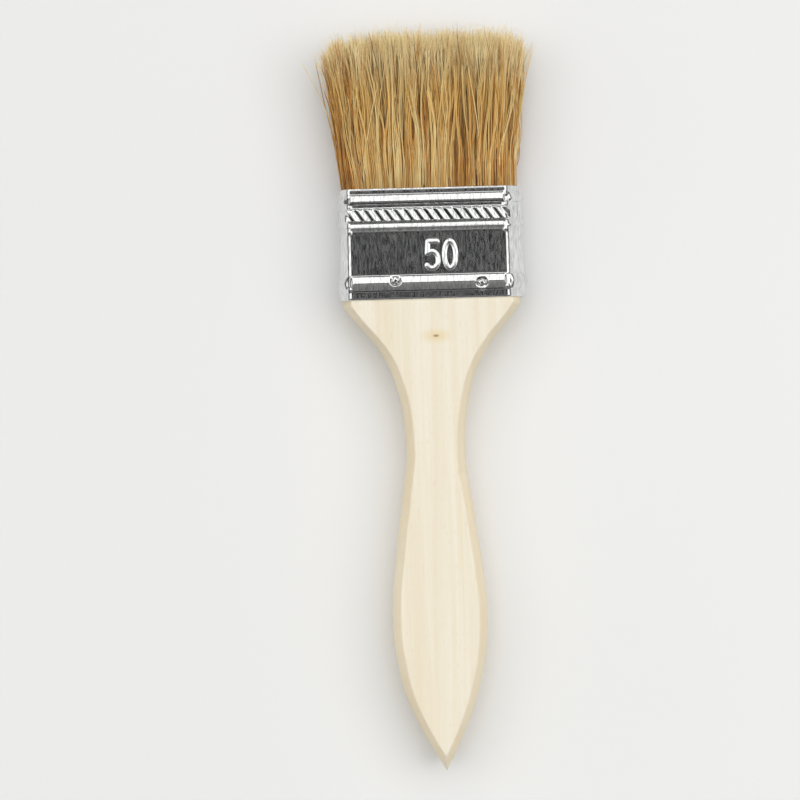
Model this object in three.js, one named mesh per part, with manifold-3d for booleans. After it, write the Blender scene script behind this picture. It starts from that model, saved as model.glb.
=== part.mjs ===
// Pastry brush, 50 mm size: a wooden handle, a tinplate ferrule nailed to it, and two banks of
// boar bristle set in resin on either side of a filler strip. The brush lies flat on its back.
//
// Frame, in millimetres: +Y runs along the brush towards the bristle, +Z is up, out of the
// front face, and +X is to the right. The origin is below the middle of the brush, on the
// surface it lies on. Each piece is built about the brush's middle plane, at local z = 0.

import * as THREE from 'three';
import { mergeVertices } from 'three/addons/utils/BufferGeometryUtils.js';
import Module from 'manifold-3d';

const wasm = await Module();
wasm.setup();

// ---------------------------------------------------------------- driving dimensions

const TOTAL_LENGTH = 170;
const PILE_LENGTH = 35; // bristle that stands out of the ferrule
const FERRULE_LENGTH = 25.6;

const PANEL_HALF_THICKNESS = 7.3; // from the middle plane to the outside of a flat panel
const SHEET = 0.35; // tinplate
const BEAD_HEIGHT = 0.6;

const MIDDLE_Z = PANEL_HALF_THICKNESS + BEAD_HEIGHT;
const TIP_Y = -TOTAL_LENGTH / 2;
const BRISTLE_END_Y = TOTAL_LENGTH / 2;
const MOUTH_Y = BRISTLE_END_Y - PILE_LENGTH;
const BASE_Y = MOUTH_Y - FERRULE_LENGTH;

// The ferrule's flat panels end at two creases. Its rounded sides bulge out past them, the
// right one further than the left, and both a little further at the base than at the mouth.
const CREASE_LEFT = -19.1;
const CREASE_RIGHT = 17.8;
const LEFT_BULGE = { base: 2.3, mouth: 1.7 };
const RIGHT_BULGE = { base: 3.7, mouth: 3.0 };

// Bands rolled into the ferrule: how far the crest is from the mouth, how far the band runs
// from its crest towards the mouth and towards the base, and its height.
const MOUTH_BEAD = { crest: 2.95, toMouth: 1.65, toBase: 1.0, height: BEAD_HEIGHT };
const ROPE_BAND = { crest: 6.15, toMouth: 1.75, toBase: 1.75, height: BEAD_HEIGHT };
const THIN_BEAD = { crest: 9.0, toMouth: 1.1, toBase: 1.5, height: 0.28 };
const NAIL_BEAD = { crest: 21.8, toMouth: 1.75, toBase: 2.0, height: BEAD_HEIGHT };
const BANDS = [MOUTH_BEAD, ROPE_BAND, THIN_BEAD, NAIL_BEAD];

// Nails, driven through the nail bead. Each head sits in a dimple in the sheet. The back has
// the same two nails as the front, seen when the brush is turned over.
const FRONT_LEFT_NAIL = { x: -8.3, y: MOUTH_Y - 21.3 };
const FRONT_RIGHT_NAIL = { x: 11.6, y: MOUTH_Y - 22.2 };
const NAIL_HEAD_RADIUS = 0.85;
const NAIL_HEAD_HEIGHT = 0.36;
const NAIL_SHANK_RADIUS = 0.55;
const NAIL_LENGTH = 6;
const NAIL_CLEARANCE = 0.15;
const NAIL_SEAT = 0.02; // from the dimple's floor to the underside of the head
const DIMPLE_RADIUS = 1.3;

// The handle's flat faces, its bull-nosed sides, and the head that fits in the ferrule.
const HANDLE_HALF_THICKNESS = 6.9;
const HANDLE_SIDE_BULGE = 2;
const HEAD_DEPTH = 10.6;
const HEAD_CLEARANCE = 0.15;

// Half of the handle's outline, as [half width, y], from the shoulder to the tip. The
// shoulder, neck, belly and tip lie on it, and the rest are Bezier handles between them.
const SHOULDER = [20.6, BASE_Y - 1.3];
const NECK = [6.85, BASE_Y - 35.8];
const BELLY = [11, BASE_Y - 73.9];
const TIP = [0.3, TIP_Y];
const HANDLE_CURVES = [
  [SHOULDER, [16.1, BASE_Y - 8.8], [6.85, BASE_Y - 12], NECK],
  [NECK, [6.85, BASE_Y - 42], [11, BASE_Y - 61.1], BELLY],
  [BELLY, [11, BASE_Y - 89.6], [5.9, BASE_Y - 98.6], TIP],
];
const CURVE_STEPS = 14;
const TIP_CROWDING = 1.7; // above 1, the steps get shorter towards the tip

// Inside the ferrule: resin behind and around the bristle roots, and the filler strip.
const RESIN_START_Y = BASE_Y + HEAD_DEPTH + 0.4;
const RESIN_END_Y = MOUTH_Y - 6.6;
const ROOT_Y = RESIN_START_Y + 1.6;
const RESIN_WALL = 0.55;
const SMALL_GAP = 0.1;
const FILLER_WIDTH = 36;
const FILLER_THICKNESS = 3;
const FILLER_END_Y = MOUTH_Y - 3;

// The bristle widens from the mouth to its ends.
const BRISTLE_FLARE_WIDTH = 3.2; // on each side
const BRISTLE_FLARE_THICKNESS = 0.7; // on each face
const BANK_GAP = 0.3;
const BRISTLE_STEPS = 6;

const SIDE_STEPS = 6; // facets round one rounded side
const ROUND_STEPS = 16; // facets round a nail

// ---------------------------------------------------------------- building blocks

// One cross-section of a flat bar: two flat faces between the left and right creases, joined
// by sides that bulge out in an arc. The points run down the right side and up the left.
function section(y, { left, right, half, leftBulge, rightBulge }) {
  const points = [];
  for (const [edge, bulge, side] of [[right, rightBulge, 1], [left, leftBulge, -1]]) {
    const radius = (half ** 2 + bulge ** 2) / (2 * bulge);
    const reach = Math.asin(half / radius);
    for (let i = 0; i <= SIDE_STEPS; i++) {
      const angle = reach * (1 - (2 * i) / SIDE_STEPS);
      const out = bulge - radius + radius * Math.cos(angle);
      points.push(new THREE.Vector3(edge + side * out, y, side * radius * Math.sin(angle)));
    }
  }
  return points;
}

// A closed solid through a row of sections that follow each other towards +Y.
function loft(sections) {
  const count = sections[0].length;
  const last = (sections.length - 1) * count;
  const index = [];
  for (let s = 0; s < last; s += count) {
    for (let i = 0; i < count; i++) {
      const next = (i + 1) % count;
      index.push(s + i, s + next, s + count + i);
      index.push(s + next, s + count + next, s + count + i);
    }
  }
  for (let i = 1; i < count - 1; i++) {
    index.push(0, i + 1, i);
    index.push(last, last + i, last + i + 1);
  }
  const geometry = new THREE.BufferGeometry().setFromPoints(sections.flat());
  geometry.setIndex(index);
  return geometry;
}

function toSolid(geometry) {
  const bare = geometry.clone();
  bare.deleteAttribute('normal');
  bare.deleteAttribute('uv');
  const merged = mergeVertices(bare);
  const vertProperties = new Float32Array(merged.attributes.position.array);
  const triVerts = new Uint32Array(merged.index.array);
  return new wasm.Manifold(new wasm.Mesh({ numProp: 3, vertProperties, triVerts }));
}

function toGeometry(solid) {
  const mesh = solid.getMesh();
  const geometry = new THREE.BufferGeometry();
  geometry.setAttribute('position', new THREE.BufferAttribute(mesh.vertProperties, 3));
  geometry.setIndex(new THREE.BufferAttribute(mesh.triVerts, 1));
  return geometry;
}

function cut(geometry, tools) {
  return toGeometry(tools.reduce((rest, tool) => rest.subtract(toSolid(tool)), toSolid(geometry)));
}

// A box given by its lowest and highest corners.
function block(low, high) {
  const size = high.map((value, axis) => value - low[axis]);
  const middle = high.map((value, axis) => (value + low[axis]) / 2);
  return new THREE.BoxGeometry(...size).translate(...middle);
}

// A round bar along Z at (x, y), between two heights.
function rod(x, y, lowZ, highZ, radius) {
  const bar = new THREE.CylinderGeometry(radius, radius, highZ - lowZ, ROUND_STEPS);
  return bar.rotateX(Math.PI / 2).translate(x, y, (lowZ + highZ) / 2);
}

// The four nails: name, place and which face they are on (1 for the front, -1 for the back).
const NAILS = [
  { name: 'nail_front_left', ...FRONT_LEFT_NAIL, face: 1 },
  { name: 'nail_front_right', ...FRONT_RIGHT_NAIL, face: 1 },
  { name: 'nail_back_left', x: -FRONT_RIGHT_NAIL.x, y: FRONT_RIGHT_NAIL.y, face: -1 },
  { name: 'nail_back_right', x: -FRONT_LEFT_NAIL.x, y: FRONT_LEFT_NAIL.y, face: -1 },
];

// A rod on a nail's axis, between two distances from the middle plane.
function nailRod({ x, y, face }, from, to, radius) {
  const ends = [face * from, face * to].sort((a, b) => a - b);
  return rod(x, y, ...ends, radius);
}

// ---------------------------------------------------------------- ferrule

// How far the sheet stands out of the flat panel at y. Each band has a round crest and runs
// out smoothly on both sides.
function bandHeight(y) {
  const heights = BANDS.map(({ crest, toMouth, toBase, height }) => {
    const past = MOUTH_Y - y - crest;
    const t = Math.min(Math.abs(past) / (past < 0 ? toMouth : toBase), 1);
    return (height * (1 + Math.cos(Math.PI * t))) / 2;
  });
  return Math.max(...heights);
}

// The ferrule's outer section at y, grown outwards by `grow` (negative is inwards). Growing
// moves the creases sideways by half as much as it moves the sides.
function ferruleSection(y, grow) {
  const along = THREE.MathUtils.clamp((y - BASE_Y) / FERRULE_LENGTH, 0, 1);
  const sideways = grow / 2;
  return section(y, {
    left: CREASE_LEFT - sideways,
    right: CREASE_RIGHT + sideways,
    half: PANEL_HALF_THICKNESS + grow,
    leftBulge: THREE.MathUtils.lerp(LEFT_BULGE.base, LEFT_BULGE.mouth, along) + sideways,
    rightBulge: THREE.MathUtils.lerp(RIGHT_BULGE.base, RIGHT_BULGE.mouth, along) + sideways,
  });
}

function makeFerrule() {
  const stations = [BASE_Y, MOUTH_Y];
  for (const { crest, toMouth, toBase } of BANDS) {
    for (const past of [-toMouth, -toMouth / 2, 0, toBase / 2, toBase]) {
      stations.push(MOUTH_Y - crest - past);
    }
  }
  stations.sort((a, b) => a - b);
  const outside = stations.map((y) => ferruleSection(y, bandHeight(y)));
  const beyond = 1;
  const ends = [BASE_Y - beyond, BASE_Y, MOUTH_Y, MOUTH_Y + beyond];
  const hollow = ends.map((y) => ferruleSection(y, -SHEET));
  const seatTop = PANEL_HALF_THICKNESS + BEAD_HEIGHT + beyond;
  const dimples = NAILS.map((nail) => nailRod(nail, PANEL_HALF_THICKNESS, seatTop, DIMPLE_RADIUS));
  const holes = NAILS.map((nail) => nailRod(nail, 0, seatTop, NAIL_SHANK_RADIUS + NAIL_CLEARANCE));
  return cut(loft(outside), [loft(hollow), ...dimples, ...holes]);
}

// A nail about its own axis, with the underside of its domed head at z = 0.
function makeNail() {
  const profile = [
    new THREE.Vector2(0, -NAIL_LENGTH),
    new THREE.Vector2(NAIL_SHANK_RADIUS, -NAIL_LENGTH + 1.2),
    new THREE.Vector2(NAIL_SHANK_RADIUS, 0),
    new THREE.Vector2(NAIL_HEAD_RADIUS, 0),
    new THREE.Vector2(NAIL_HEAD_RADIUS, 0.1),
    new THREE.Vector2(0.7 * NAIL_HEAD_RADIUS, 0.8 * NAIL_HEAD_HEIGHT),
    new THREE.Vector2(0, NAIL_HEAD_HEIGHT),
  ];
  return new THREE.LatheGeometry(profile, ROUND_STEPS).rotateX(Math.PI / 2);
}

// ---------------------------------------------------------------- handle

// The handle's section for a half width. Near the tip the flat faces have run out, and the
// two rounded sides meet, so the section gets thinner as well as narrower.
function handleSection(halfWidth, y) {
  const half = HANDLE_HALF_THICKNESS;
  const radius = (half ** 2 + HANDLE_SIDE_BULGE ** 2) / (2 * HANDLE_SIDE_BULGE);
  const crease = Math.max(halfWidth - HANDLE_SIDE_BULGE, TIP[0] / 2);
  const bulge = halfWidth - crease;
  const reach = Math.sqrt(2 * radius * bulge - bulge ** 2);
  return section(y, {
    left: -crease, right: crease, half: reach, leftBulge: bulge, rightBulge: bulge,
  });
}

// The handle's outline from the tip to the ferrule's base.
function handleOutline() {
  const outline = [new THREE.Vector2(SHOULDER[0], BASE_Y - 0.2), new THREE.Vector2(...SHOULDER)];
  HANDLE_CURVES.forEach((points, n) => {
    const curve = new THREE.CubicBezierCurve(...points.map((p) => new THREE.Vector2(...p)));
    const crowding = n === HANDLE_CURVES.length - 1 ? TIP_CROWDING : 1;
    for (let i = 1; i <= CURVE_STEPS; i++) {
      outline.push(curve.getPoint(1 - (1 - i / CURVE_STEPS) ** crowding));
    }
  });
  return outline.reverse();
}

function makeHandle() {
  const exposed = handleOutline().map((p) => handleSection(p.x, p.y));
  const headGrow = -SHEET - HEAD_CLEARANCE;
  const head = [BASE_Y, BASE_Y + HEAD_DEPTH].map((y) => ferruleSection(y, headGrow));
  const holeEnd = PANEL_HALF_THICKNESS - NAIL_LENGTH - NAIL_CLEARANCE;
  const holeRadius = NAIL_SHANK_RADIUS + NAIL_CLEARANCE;
  const holes = NAILS.map((nail) => nailRod(nail, holeEnd, MIDDLE_Z, holeRadius));
  return cut(loft([...exposed, ...head]), holes);
}

// ---------------------------------------------------------------- bristle, resin and filler

function fillerBlock(grow) {
  const halfWidth = FILLER_WIDTH / 2 + grow;
  const halfThickness = FILLER_THICKNESS / 2 + grow;
  return block(
    [-halfWidth, ROOT_Y - grow, -halfThickness],
    [halfWidth, FILLER_END_Y + grow, halfThickness],
  );
}

// Both banks as one solid: narrow where the resin holds the roots, filling the ferrule up to
// its mouth, and then widening to the ends.
function bristleBody(grow) {
  const inside = -SHEET - SMALL_GAP;
  const rootInset = inside - RESIN_WALL - SMALL_GAP + grow;
  const sections = [
    ferruleSection(ROOT_Y - grow, rootInset),
    ferruleSection(RESIN_END_Y, rootInset),
    ferruleSection(RESIN_END_Y + 1, inside),
    ferruleSection(MOUTH_Y, inside),
  ];
  for (let i = 1; i <= BRISTLE_STEPS; i++) {
    const along = i / BRISTLE_STEPS;
    const spread = along ** 1.3;
    sections.push(section(MOUTH_Y + PILE_LENGTH * along, {
      left: CREASE_LEFT - inside / 2 - BRISTLE_FLARE_WIDTH * spread,
      right: CREASE_RIGHT + inside / 2 + BRISTLE_FLARE_WIDTH * spread,
      half: PANEL_HALF_THICKNESS + inside + BRISTLE_FLARE_THICKNESS * spread,
      leftBulge: LEFT_BULGE.mouth + inside / 2,
      rightBulge: RIGHT_BULGE.mouth + inside / 2,
    }));
  }
  return loft(sections);
}

// The part of the bristle on one face of the middle plane, clear of the filler strip.
function makeBank(face) {
  const far = TOTAL_LENGTH;
  const near = BANK_GAP / 2;
  const belowFront = block([-far, -far, -far], [far, far, near]);
  const aboveBack = block([-far, -far, -near], [far, far, far]);
  return cut(bristleBody(0), [face > 0 ? belowFront : aboveBack, fillerBlock(SMALL_GAP)]);
}

function makeResinPlug() {
  const grow = -SHEET - SMALL_GAP;
  const whole = loft([ferruleSection(RESIN_START_Y, grow), ferruleSection(RESIN_END_Y, grow)]);
  return cut(whole, [bristleBody(SMALL_GAP), fillerBlock(SMALL_GAP)]);
}

// ---------------------------------------------------------------- assembly

const WOOD = new THREE.MeshStandardMaterial({ color: 0xe9d8b4, roughness: 0.6, metalness: 0 });
const TINPLATE = new THREE.MeshStandardMaterial({ color: 0xc8c9cb, roughness: 0.22, metalness: 1 });
const STEEL = new THREE.MeshStandardMaterial({ color: 0xb9babd, roughness: 0.3, metalness: 1 });
const RESIN = new THREE.MeshStandardMaterial({ color: 0x8a5a2b, roughness: 0.35, metalness: 0 });
const SPACER = new THREE.MeshStandardMaterial({ color: 0xd9c49a, roughness: 0.8, metalness: 0 });
const BRISTLE = new THREE.MeshStandardMaterial({ color: 0xb08a50, roughness: 0.6, metalness: 0 });

const brush = new THREE.Group();
brush.position.z = MIDDLE_Z;

function add(name, geometry, material) {
  const mesh = new THREE.Mesh(geometry, material);
  mesh.name = name;
  brush.add(mesh);
  return mesh;
}

add('handle', makeHandle(), WOOD);
add('ferrule', makeFerrule(), TINPLATE);
add('resin_plug', makeResinPlug(), RESIN);
add('filler_strip', fillerBlock(0), SPACER);
add('bristle_bank_front', makeBank(1), BRISTLE);
add('bristle_bank_back', makeBank(-1), BRISTLE);

for (const { name, x, y, face } of NAILS) {
  const nail = add(name, makeNail(), STEEL);
  nail.position.set(x, y, face * (PANEL_HALF_THICKNESS + NAIL_SEAT));
  nail.rotation.y = face > 0 ? 0 : Math.PI;
}

const group = new THREE.Group();
group.add(brush);
export default group;
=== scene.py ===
"""The looks of a flat pastry brush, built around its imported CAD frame.

The row's frame: +Y along the brush towards the bristle, +Z up out of the front face, +X to
the right, the brush lying on its back on z = 0. Shapes are worked out here in millimetres
about the brush's middle plane, and become metres in the row's frame when a mesh is made.
"""
import math

import bpy
import numpy as np
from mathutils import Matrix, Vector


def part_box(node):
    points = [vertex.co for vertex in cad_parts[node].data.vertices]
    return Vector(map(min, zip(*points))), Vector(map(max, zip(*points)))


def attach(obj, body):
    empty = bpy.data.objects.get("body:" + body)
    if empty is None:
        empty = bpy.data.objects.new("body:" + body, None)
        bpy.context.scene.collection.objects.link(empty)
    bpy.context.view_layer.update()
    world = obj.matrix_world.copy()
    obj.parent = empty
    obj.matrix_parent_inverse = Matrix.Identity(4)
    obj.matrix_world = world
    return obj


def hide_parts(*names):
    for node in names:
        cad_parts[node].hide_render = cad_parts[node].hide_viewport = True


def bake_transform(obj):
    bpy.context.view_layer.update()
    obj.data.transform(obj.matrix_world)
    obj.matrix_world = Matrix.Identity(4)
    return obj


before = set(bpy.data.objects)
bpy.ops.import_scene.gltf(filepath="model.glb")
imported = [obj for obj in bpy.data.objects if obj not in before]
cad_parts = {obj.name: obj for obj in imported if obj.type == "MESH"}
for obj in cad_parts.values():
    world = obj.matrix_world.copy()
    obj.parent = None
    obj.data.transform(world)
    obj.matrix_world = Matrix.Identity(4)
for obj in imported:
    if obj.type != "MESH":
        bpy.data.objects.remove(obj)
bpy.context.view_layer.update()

MM = 0.001

# ---------------------------------------------------------------- places from the frame

ferrule_low, ferrule_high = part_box("ferrule")
handle_low, handle_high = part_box("handle")
bristle_low, bristle_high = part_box("bristle_bank_front")

MIDDLE_Z = (ferrule_low.z + ferrule_high.z) / 2 / MM
BASE_Y = ferrule_low.y / MM
MOUTH_Y = ferrule_high.y / MM
TIP_Y = handle_low.y / MM
HEAD_END_Y = handle_high.y / MM
BRISTLE_END_Y = bristle_high.y / MM
FERRULE_LENGTH = MOUTH_Y - BASE_Y
PILE_LENGTH = BRISTLE_END_Y - MOUTH_Y

# ---------------------------------------------------------------- sizes, in millimetres

SHEET = 0.35
BEAD_HEIGHT = 0.6
PANEL_HALF = MIDDLE_Z - BEAD_HEIGHT  # from the middle plane to the outside of a flat panel
CREASE_LEFT = -19.1
CREASE_RIGHT = 17.8
LEFT_BULGE = (2.3, 1.7)  # at the base and at the mouth
RIGHT_BULGE = (3.7, 3.0)
CREASE_EASE = 1.35  # radius of the rolled creases
HEAD_CLEARANCE = 0.15
SEAM_Z = 3.4  # the lap seam's edge on the right side, above the middle plane

# Beads rolled into the sheet: crest's distance from the mouth, height, and how far the bead
# reaches towards the mouth and towards the base.
MOUTH_BEAD = (2.95, BEAD_HEIGHT, 1.65, 0.85)
THIN_BEAD = (9.0, 0.28, 1.1, 1.5)
NAIL_BEAD = (21.8, BEAD_HEIGHT, 1.75, 2.0)
ROPE_CREST = 6.15
ROPE_REACH = 1.75
ROPE_HEIGHT = 0.6
ROPE_PERIOD = 2.28
ROPE_RISE = 0.4  # share of a strand's width that is its steep side

# Each bead is pinched nearly flat where it crosses a crease.
PINCH_DEPTH = 0.92  # share of the bead's height that is lost
PINCH_WIDTH = 0.6
PINCH_INSET = 0.15  # from the crease towards the middle of the panel
PINCH_EDGE = 0.4

# Knuckles of sheet at both creases, beside the beads' ends: their distances from the mouth.
KNUCKLES = (1.9, 4.25, 9.85, 23.1)
KNUCKLE_HEIGHT = 0.23
KNUCKLE_RADIUS = 0.8
KNUCKLE_INSET = 0.4
KNUCKLE_STRETCH = 0.6  # below 1, a knuckle reaches further round the side than over the panel

NAIL_PLACES = ((-8.3, 21.3), (11.6, 22.2))  # x and distance from the mouth, on the front
NAIL_HEAD_RADIUS = 0.85
NAIL_HEAD_HEIGHT = 0.36
NAIL_SHANK_RADIUS = 0.55
NAIL_LENGTH = 6.0
NAIL_SEAT = 0.08  # the dimple's floor above the flat panel

HANDLE_HALF = PANEL_HALF - SHEET - 0.05
HANDLE_BULGE = 2.0
HANDLE_EASE = 0.45
SHOULDER = (20.6, BASE_Y - 1.3)
NECK = (6.85, BASE_Y - 35.8)
BELLY = (11.0, BASE_Y - 73.9)
TIP = (0.02, TIP_Y)
TIP_BEND = 0.6  # to the right
HANDLE_CURVES = (
    (SHOULDER, (16.1, BASE_Y - 8.8), (6.85, BASE_Y - 12.0), NECK),
    (NECK, (6.85, BASE_Y - 42.0), (11.0, BASE_Y - 61.1), BELLY),
    (BELLY, (11.0, BASE_Y - 89.6), (5.9, BASE_Y - 98.6), TIP),
)

KNOT = (0.7, BASE_Y - 8.6)  # on the front face
NICK = (5.9, BASE_Y - 40.5)  # on the front face's right edge


# ---------------------------------------------------------------- meshes

def smoothstep(value):
    value = np.clip(value, 0.0, 1.0)
    return value * value * (3.0 - 2.0 * value)


def make_object(name, points, faces, material):
    """A smooth mesh object from points in millimetres about the middle plane."""
    place = np.asarray(points, float) * MM + np.array([0.0, 0.0, MIDDLE_Z * MM])
    mesh = bpy.data.meshes.new(name)
    mesh.from_pydata(place.tolist(), [], [list(map(int, f)) for f in faces])
    mesh.shade_smooth()
    mesh.materials.append(material)
    thing = bpy.data.objects.new(name, mesh)
    bpy.context.scene.collection.objects.link(thing)
    return thing


def ring_faces(rows, columns, closed=False):
    """The quads between rows of points that each run once round a section."""
    row = np.arange(rows if closed else rows - 1)[:, None]
    column = np.arange(columns)[None, :]
    after_row, after_column = (row + 1) % rows, (column + 1) % columns
    corners = (
        row * columns + column,
        row * columns + after_column,
        after_row * columns + after_column,
        after_row * columns + column,
    )
    return np.stack(corners, axis=-1).reshape(-1, 4)


def rounded_side(edge, radius, top, ease, ease_steps, arc_steps):
    """The right side of a flat bar's section, from its front face round to its back.

    edge is the outermost x, radius the side's arc and top the faces' height. A small arc,
    the ease, joins each face to the side. Where the bar is too narrow to have a flat face,
    the eases meet in a ridge that is lower than top.
    """
    centre = edge - radius
    reach = radius - ease
    ease_z = min(top - ease, math.sqrt(max(reach**2 - min(centre, 0.0) ** 2, 0.0)))
    ease_x = centre + math.sqrt(max(reach**2 - ease_z**2, 0.0))
    turn = math.atan2(ease_z, ease_x - centre)
    rounding = np.linspace(math.pi / 2, turn, ease_steps)
    front = np.stack([ease_x + ease * np.cos(rounding), ease_z + ease * np.sin(rounding)], -1)
    sweep = np.linspace(turn, -turn, arc_steps + 2)[1:-1]
    side = np.stack([centre + radius * np.cos(sweep), radius * np.sin(sweep)], -1)
    back = front[::-1] * (1.0, -1.0)
    return np.concatenate([front, side, back])


def flat_run(start, end, steps, margin):
    """x values strictly between two creases, with one kept close to each of them."""
    inset = min(margin, abs(end - start) / 4) * np.sign(end - start)
    return np.linspace(start + inset, end - inset, steps)


def bar_section(left, right, front_steps, back_steps, margin, front_warp=None):
    """A closed section from its two sides, each as rounded_side() gives it for the right."""
    left = left * (-1.0, 1.0)
    top, bottom = right[0, 1], right[-1, 1]
    front_x = flat_run(left[0, 0], right[0, 0], front_steps, margin)
    if front_warp is not None:
        front_x = front_warp(front_x)
    back_x = flat_run(right[0, 0], left[0, 0], back_steps, margin)
    front = np.stack([front_x, np.full(front_steps, top)], -1)
    back = np.stack([back_x, np.full(back_steps, bottom)], -1)
    return np.concatenate([front, right, back, left[::-1]])


def at_height(section, y):
    """Points of an (x, z) section placed at y."""
    return np.stack([section[:, 0], np.full(len(section), y), section[:, 1]], -1)


# ---------------------------------------------------------------- materials

def colour(red, green, blue):
    """A display colour from 0 to 255 as the linear colour that nodes use."""
    values = np.array([red, green, blue]) / 255.0
    linear = np.where(values <= 0.04045, values / 12.92, ((values + 0.055) / 1.055) ** 2.4)
    return (*linear.tolist(), 1.0)


class Nodes:
    """A node tree whose nodes are added one call at a time. Inputs are values or outputs."""

    def __init__(self, tree):
        self.tree = tree

    def add(self, kind, inputs=None, output=0, **settings):
        """Adds a node and returns one of its outputs."""
        node = self.tree.nodes.new("ShaderNode" + kind)
        for key, value in settings.items():
            setattr(node, key, value)
        for socket, value in (inputs or {}).items():
            self.feed(node.inputs[socket], value)
        return node.outputs[output]

    def feed(self, socket, value):
        if isinstance(value, bpy.types.NodeSocket):
            self.tree.links.new(value, socket)
        else:
            socket.default_value = value

    def stretch(self, value, low, high, to_low=0.0, to_high=1.0):
        inputs = {0: value, 1: low, 2: high, 3: to_low, 4: to_high}
        return self.add("MapRange", inputs, interpolation_type="SMOOTHSTEP")

    def math(self, operation, *values):
        return self.add("Math", dict(enumerate(values)), operation=operation)

    def mix(self, share, first, second, blend="MIX"):
        inputs = {0: share, 6: first, 7: second}
        return self.add("Mix", inputs, output=2, data_type="RGBA", blend_type=blend)


class Shader(Nodes):
    """A material around one Principled BSDF."""

    def __init__(self, name, **values):
        self.material = bpy.data.materials.new(name)
        self.material.use_nodes = True
        super().__init__(self.material.node_tree)
        self.surface = self.tree.nodes["Principled BSDF"]
        self.drive(**values)

    def drive(self, **inputs):
        for socket, value in inputs.items():
            self.feed(self.surface.inputs[socket.replace("_", " ")], value)

    def noise(self, scale, detail=2.0, roughness=0.5, distortion=0.0):
        """Noise from 0 to 1 whose grain is 1 / scale metres along X, Y and Z."""
        here = self.add("TexCoord", output="Object")
        inputs = {
            "Vector": self.add("Mapping", {"Vector": here, "Scale": scale}),
            "Scale": 1.0,
            "Detail": detail,
            "Roughness": roughness,
            "Distortion": distortion,
        }
        return self.add("TexNoise", inputs)

    def ramp(self, share, stops):
        node = self.tree.nodes.new("ShaderNodeValToRGB")
        self.feed(node.inputs[0], share)
        elements = node.color_ramp.elements
        elements[0].position, elements[0].color = stops[0]
        elements[1].position, elements[1].color = stops[-1]
        for position, shade in stops[1:-1]:
            elements.new(position).color = shade
        return node.outputs[0]

    def bump(self, height, distance, strength=1.0, under=None):
        inputs = {"Height": height, "Distance": distance, "Strength": strength}
        if under is not None:
            inputs["Normal"] = under
        return self.add("Bump", inputs)


def make_handle_wood():
    """Pale, fine-grained bare wood with its grain along the handle and one pin knot; its rounded
    sides carry painted shade.
    """
    wood = Shader("handle_wood", Roughness=0.56, Specular_IOR_Level=0.32)
    here = wood.add("TexCoord", output="Object")
    knot = (KNOT[0] * MM, KNOT[1] * MM, (MIDDLE_Z + HANDLE_HALF) * MM)
    from_knot = wood.add("VectorMath", {0: here, 1: knot}, operation="SUBTRACT")
    oval = wood.add("VectorMath", {0: from_knot, 1: (900.0, 2000.0, 500.0)}, operation="MULTIPLY")
    distance = wood.add("VectorMath", {0: oval}, output="Value", operation="LENGTH")
    core = wood.stretch(distance, 0.25, 0.85, 1.0, 0.0)
    halo = wood.stretch(distance, 0.4, 4.2, 1.0, 0.0)

    broad = wood.noise((260.0, 9.0, 260.0), detail=3.0, distortion=0.4)
    bands = wood.noise((900.0, 14.0, 900.0), detail=3.0, roughness=0.55, distortion=0.25)
    fibre = wood.noise((5200.0, 90.0, 5200.0), detail=3.0, roughness=0.65)
    fleck = wood.noise((6500.0, 520.0, 6500.0), detail=2.0)

    pale, warm = colour(239, 232, 215), colour(233, 222, 199)
    base = wood.mix(wood.stretch(broad, 0.3, 0.72), pale, warm)
    base = wood.mix(wood.stretch(bands, 0.42, 0.78, 0.0, 0.32), base, colour(230, 212, 180))
    base = wood.mix(wood.stretch(fibre, 0.5, 0.8, 0.0, 0.24), base, colour(218, 198, 160))
    base = wood.mix(wood.stretch(fleck, 0.63, 0.74, 0.0, 0.26), base, colour(192, 164, 120))
    # Painted shade: where the surface faces sideways, on the handle's rounded sides, the wood is
    # tinted darker and yellower than on the front face.
    facing = wood.tree.nodes.new("ShaderNodeSeparateXYZ")
    wood.feed(facing.inputs[0], wood.add("TexCoord", output="Normal"))
    sideways = wood.math("ABSOLUTE", facing.outputs[0])
    base = wood.mix(wood.stretch(sideways, 0.35, 0.9, 0.0, 0.34), base, colour(232, 208, 158))
    base = wood.mix(wood.math("MULTIPLY", halo, 0.5), base, colour(226, 200, 136))
    base = wood.mix(wood.math("MULTIPLY", core, 0.72), base, colour(132, 92, 46))

    grain = wood.bump(fibre, 0.00006, strength=0.5)
    waves = wood.bump(bands, 0.00012, strength=0.35, under=grain)
    wood.drive(
        Base_Color=base,
        Roughness=wood.stretch(fibre, 0.3, 0.8, 0.5, 0.66),
        Normal=waves,
    )
    return wood.material


def make_tinplate():
    """Bright tinned sheet steel with fine rolling marks along the brush."""
    tin = Shader("tinplate", Metallic=1.0, Roughness=0.2)
    streaks = tin.noise((2300.0, 430.0, 2300.0), detail=2.0, roughness=0.55)
    cloud = tin.noise((320.0, 190.0, 320.0), detail=2.0)
    scratch = tin.noise((7000.0, 500.0, 7000.0), detail=2.0, roughness=0.7)
    shade = tin.mix(tin.stretch(cloud, 0.3, 0.7), colour(243, 243, 242), colour(230, 231, 231))
    shade = tin.mix(tin.stretch(streaks, 0.35, 0.7, 0.0, 0.6), shade, colour(176, 177, 178))
    tin.drive(
        Base_Color=shade,
        Roughness=tin.stretch(streaks, 0.25, 0.75, 0.12, 0.25),
        Normal=tin.bump(scratch, 0.000004, strength=0.2),
    )
    return tin.material


def make_nail_steel():
    steel = Shader("nail_steel", Metallic=1.0, Roughness=0.15)
    pits = steel.noise((1500.0, 1500.0, 1500.0), detail=3.0)
    shade = steel.mix(steel.stretch(pits, 0.35, 0.7), colour(222, 222, 222), colour(196, 196, 197))
    steel.drive(
        Base_Color=shade,
        Roughness=steel.stretch(pits, 0.3, 0.75, 0.1, 0.22),
        Normal=steel.bump(pits, 0.00001, strength=0.4),
    )
    return steel.material


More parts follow.
